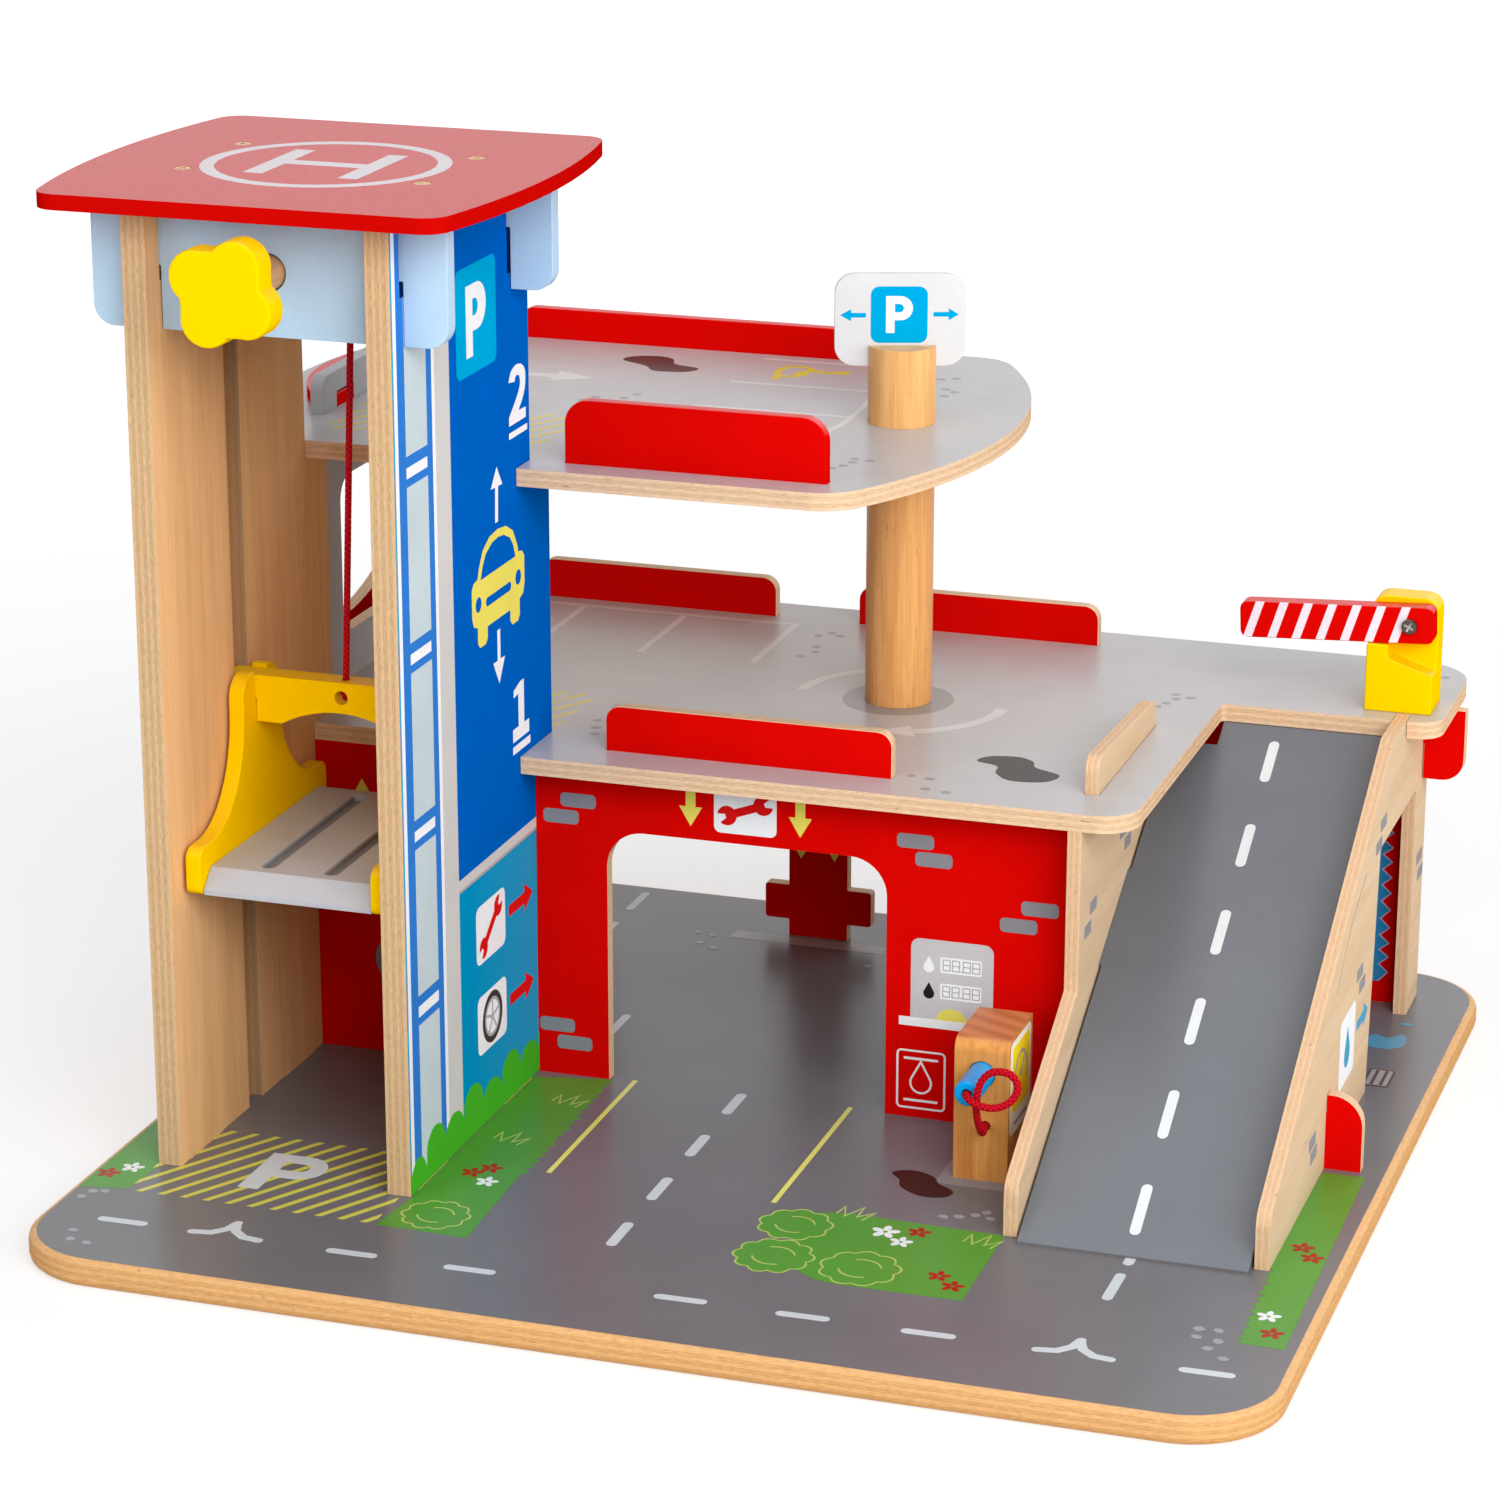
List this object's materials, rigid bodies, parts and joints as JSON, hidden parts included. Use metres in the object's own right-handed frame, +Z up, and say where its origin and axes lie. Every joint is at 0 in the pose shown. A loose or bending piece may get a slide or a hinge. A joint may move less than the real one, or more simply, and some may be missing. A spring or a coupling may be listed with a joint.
{
  "type": "toy parking garage with lift",
  "caption": "Wooden toy parking garage: two parking decks, a hand-cranked lift in a tower with a helipad roof, a ramp, a swinging barrier and a fuel pump on a road-printed base board.",
  "frame": {"origin": "middle of the base board's underside", "axes": "+X to the right as seen from the front, +Y to the back, +Z up"},
  "size_m": [0.487, 0.45, 0.3853],
  "materials": {
    "road_board": "plywood with a printed road",
    "deck_board": "plywood with a printed grey face",
    "ramp_board": "plywood with a printed road",
    "natural_wood": "clear-lacquered plywood",
    "solid_wood": "clear-lacquered solid beech",
    "blue_panel": "plywood with a printed blue face",
    "pale_blue_paint": "satin paint on plywood",
    "red_paint": "satin paint on plywood",
    "yellow_paint": "satin paint on wood",
    "light_grey_paint": "satin paint on wood",
    "mid_grey_paint": "satin paint on plywood",
    "white_paint": "satin paint on wood",
    "blue_paint": "satin paint on wood",
    "red_rope": "braided cord",
    "steel": "dark zinc",
    "brass": "bright"
  },
  "bodies": {
    "root": {"base_board": "road_board", "tower_left_panel": "natural_wood", "tower_right_panel": "blue_panel", "front_cross_board": "pale_blue_paint", "back_cross_board": "pale_blue_paint", "helipad_roof": "red_paint", "roof_screw_1": "brass", "roof_screw_2": "brass", "roof_screw_3": "brass", "roof_screw_4": "brass", "lift_rope": "red_rope", "deck_1": "deck_board", "deck_2": "deck_board", "deck_2_front_fence": "red_paint", "deck_2_back_fence": "red_paint", "deck_1_front_fence": "red_paint", "deck_1_back_left_fence": "red_paint", "deck_1_back_right_fence": "red_paint", "wood_fence": "natural_wood", "front_wall": "red_paint", "back_wall": "red_paint", "ramp_board": "ramp_board", "ramp_left_panel": "natural_wood", "ramp_right_panel": "natural_wood", "side_wall": "mid_grey_paint", "left_fence": "mid_grey_paint", "left_kerb": "red_paint", "deck_1_left_fence": "red_paint", "post": "solid_wood", "sign_dowel": "solid_wood", "sign_board": "white_paint", "barrier_block": "yellow_paint", "barrier_screw": "steel", "pump_block": "solid_wood", "pump_hose": "red_rope"},
    "lift": {"lift_left_cheek": "yellow_paint", "lift_right_cheek": "yellow_paint", "lift_platform": "light_grey_paint", "lift_cross_bar": "yellow_paint", "rope_knot": "red_rope"},
    "winch": {"winch_shaft": "solid_wood", "winch_pin": "steel", "winch_knob": "yellow_paint", "rope_winding": "red_rope"},
    "arm": {"barrier_arm": "red_paint"},
    "nozzle": {"pump_nozzle": "blue_paint"}
  },
  "joints": [
    {"name": "lift_slide", "type": "slide", "parent": "root", "child": "lift", "axis": [0, 0, 1], "range_m": [-0.1064, 0.1363], "deforming": ["lift_rope"]},
    {"name": "winch_turn", "type": "hinge", "parent": "root", "child": "winch", "pos_m": [-0.161, 0, 0.356], "axis": [0, -1, 0], "range_deg": [-763, 977]},
    {"name": "barrier_swing", "type": "hinge", "parent": "root", "child": "arm", "pos_m": [0.2068, 0, 0.1836], "axis": [0, 1, 0], "range_deg": [0, 90]},
    {"name": "nozzle_pull", "type": "slide", "parent": "root", "child": "nozzle", "axis": [0, -1, 0], "range_m": [0, 0.012], "deforming": ["pump_hose"]}
  ],
  "couplings": [
    {"joint": "winch_turn", "follows": "lift_slide", "rad_per_m": 125}
  ]
}
